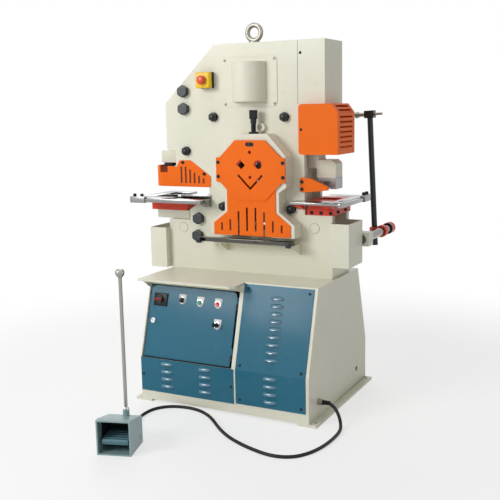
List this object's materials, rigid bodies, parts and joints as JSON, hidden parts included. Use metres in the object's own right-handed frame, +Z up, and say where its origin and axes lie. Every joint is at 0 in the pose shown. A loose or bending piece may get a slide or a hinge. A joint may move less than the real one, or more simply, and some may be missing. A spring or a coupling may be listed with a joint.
{
  "type": "hydraulic ironworker machine",
  "caption": "Floor-standing hydraulic ironworker with punch, bar shear and notch stations on a welded frame, a control cabinet below and a foot pedal on a cord.",
  "frame": {"origin": "middle of the four anchor holes, on the floor", "axes": "+Z up, +X to the operator's right, +Y towards the back; the operator stands at -Y"},
  "size_m": [1.132, 1.4358, 1.679],
  "materials": {
    "cream_paint": "gloss",
    "blue_paint": "gloss",
    "orange_paint": "gloss",
    "red_paint": "gloss",
    "teal_paint": "satin",
    "black_steel": "black oxide",
    "bright_steel": "ground",
    "chrome": "polished",
    "bronze": "machined",
    "black_plastic": "matte",
    "red_plastic": "gloss",
    "green_plastic": "gloss",
    "yellow_plastic": "satin",
    "cord_rubber": "matte"
  },
  "bodies": {
    "machine": {"base_cabinet": "cream_paint", "vent_panel": "blue_paint", "louvre_panel": "blue_paint", "fixing_screws": "black_steel", "door_hinges": "bright_steel", "oil_tank": "blue_paint", "electric_motor": "black_steel", "valve_block": "bright_steel", "electrical_panel": "bright_steel", "cord_gland": "black_plastic", "pedal_cord": "cord_rubber", "frame_front_plate": "cream_paint", "frame_weldment": "cream_paint", "tie_bolts": "black_steel", "gib_adjusters": "black_steel", "gib_pads": "bronze", "side_cover": "cream_paint", "cylinder_cover": "cream_paint", "hydraulic_cylinder": "black_steel", "eye_bolt": "bright_steel", "estop_box": "yellow_plastic", "beam_cover": "orange_paint", "punch_bolster": "cream_paint", "die_holder": "orange_paint", "punch_die": "black_steel", "punch_table": "chrome", "punch_guard": "orange_paint", "shear_housing": "cream_paint", "shear_guard": "orange_paint", "shear_table": "chrome", "notch_die_block": "red_paint", "notch_table": "chrome", "notch_stripper": "orange_paint", "scrap_boxes": "cream_paint", "stop_rod": "chrome", "pedal_housing": "teal_paint", "pedal_handle": "chrome"},
    "ram": {"ram_beam": "cream_paint", "piston_rod": "chrome", "punch_holder": "black_steel", "punch": "bright_steel", "notch_blade": "bright_steel", "shear_blade": "bright_steel"},
    "door": {"control_door": "blue_paint", "switch_bezels": "bright_steel"},
    "isolator": {"isolator_knob": "red_plastic"},
    "selector": {"selector_knob": "black_plastic"},
    "start": {"start_button": "green_plastic"},
    "stop": {"stop_button": "red_plastic"},
    "key": {"key_switch": "bright_steel"},
    "lock": {"cam_lock": "bright_steel"},
    "estop": {"estop_button": "red_plastic"},
    "treadle": {"pedal_treadle": "black_plastic"},
    "hold_foot": {"hold_down_foot": "bright_steel"},
    "hold_screw": {"hold_down_screw": "black_steel"},
    "punch_stop": {"punch_fence": "black_steel"},
    "notch_stop": {"notch_fence": "black_steel"},
    "stop_slide": {"stop_clamp": "red_paint"},
    "stop_upright": {"stop_arm": "black_steel"},
    "stop_probe": {"stop_tip": "chrome"}
  },
  "joints": [
    {"name": "ram_stroke", "type": "slide", "parent": "machine", "child": "ram", "axis": [0, 0, -1], "range_m": [0, 0.06]},
    {"name": "door_hinge", "type": "hinge", "parent": "machine", "child": "door", "pos_m": [0.044, -0.34326, 0.20426], "axis": [0, 0.2905, 0.9569], "range_deg": [0, 90]},
    {"name": "isolator_turn", "type": "hinge", "parent": "door", "child": "isolator", "pos_m": [-0.34725, -0.2633, 0.45729], "axis": [0, 0.9569, -0.2905], "range_deg": [0, 90]},
    {"name": "selector_turn", "type": "hinge", "parent": "door", "child": "selector", "pos_m": [-0.23375, -0.26142, 0.46349], "axis": [0, 0.9569, -0.2905], "range_deg": [-45, 45]},
    {"name": "start_press", "type": "slide", "parent": "door", "child": "start", "axis": [0, 0.9569, -0.2905], "range_m": [0, 0.004], "stiffness_N_per_m": 600, "springref_m": -0.002},
    {"name": "stop_press", "type": "slide", "parent": "door", "child": "stop", "axis": [0, 0.9569, -0.2905], "range_m": [0, 0.004], "stiffness_N_per_m": 600, "springref_m": -0.002},
    {"name": "key_turn", "type": "hinge", "parent": "door", "child": "key", "pos_m": [-0.04307, -0.28873, 0.37353], "axis": [0, 0.9569, -0.2905], "range_deg": [0, 90]},
    {"name": "lock_turn", "type": "hinge", "parent": "door", "child": "lock", "pos_m": [-0.37449, -0.29155, 0.36423], "axis": [0, 0.9569, -0.2905], "range_deg": [0, 90]},
    {"name": "estop_press", "type": "slide", "parent": "machine", "child": "estop", "axis": [0, 1, 0], "range_m": [0, 0.005], "stiffness_N_per_m": 900, "springref_m": -0.002},
    {"name": "treadle_press", "type": "hinge", "parent": "machine", "child": "treadle", "pos_m": [-0.19145, -0.80001, 0.032], "axis": [0.9563, 0.2924, 0], "range_deg": [0, 8], "stiffness_Nm_per_rad": 8, "springref_deg": -6.88},
    {"name": "hold_down_slide", "type": "slide", "parent": "machine", "child": "hold_foot", "axis": [0, 0, -1], "range_m": [0, 0.024]},
    {"name": "hold_down_turn", "type": "hinge", "parent": "hold_foot", "child": "hold_screw", "pos_m": [0.048, -0.0867, 1.2], "axis": [0, 0, -1], "range_deg": [0, 721]},
    {"name": "punch_fence_slide", "type": "slide", "parent": "machine", "child": "punch_stop", "axis": [1, 0, 0], "range_m": [0, 0.2]},
    {"name": "notch_fence_slide", "type": "slide", "parent": "machine", "child": "notch_stop", "axis": [0, -1, 0], "range_m": [0, 0.2]},
    {"name": "stop_slide", "type": "slide", "parent": "machine", "child": "stop_slide", "axis": [0, 1, 0], "range_m": [-0.11, 0.05]},
    {"name": "stop_swing", "type": "hinge", "parent": "stop_slide", "child": "stop_upright", "pos_m": [0.447, 0.372, 0.724], "axis": [-0.0489, 0, 0.9988], "range_deg": [-90, 90]},
    {"name": "stop_reach", "type": "slide", "parent": "stop_upright", "child": "stop_probe", "axis": [-0.9988, 0, -0.0489], "range_m": [0, 0.035]}
  ],
  "couplings": [
    {"joint": "hold_down_turn", "follows": "hold_down_slide", "rad_per_m": 523.6}
  ]
}
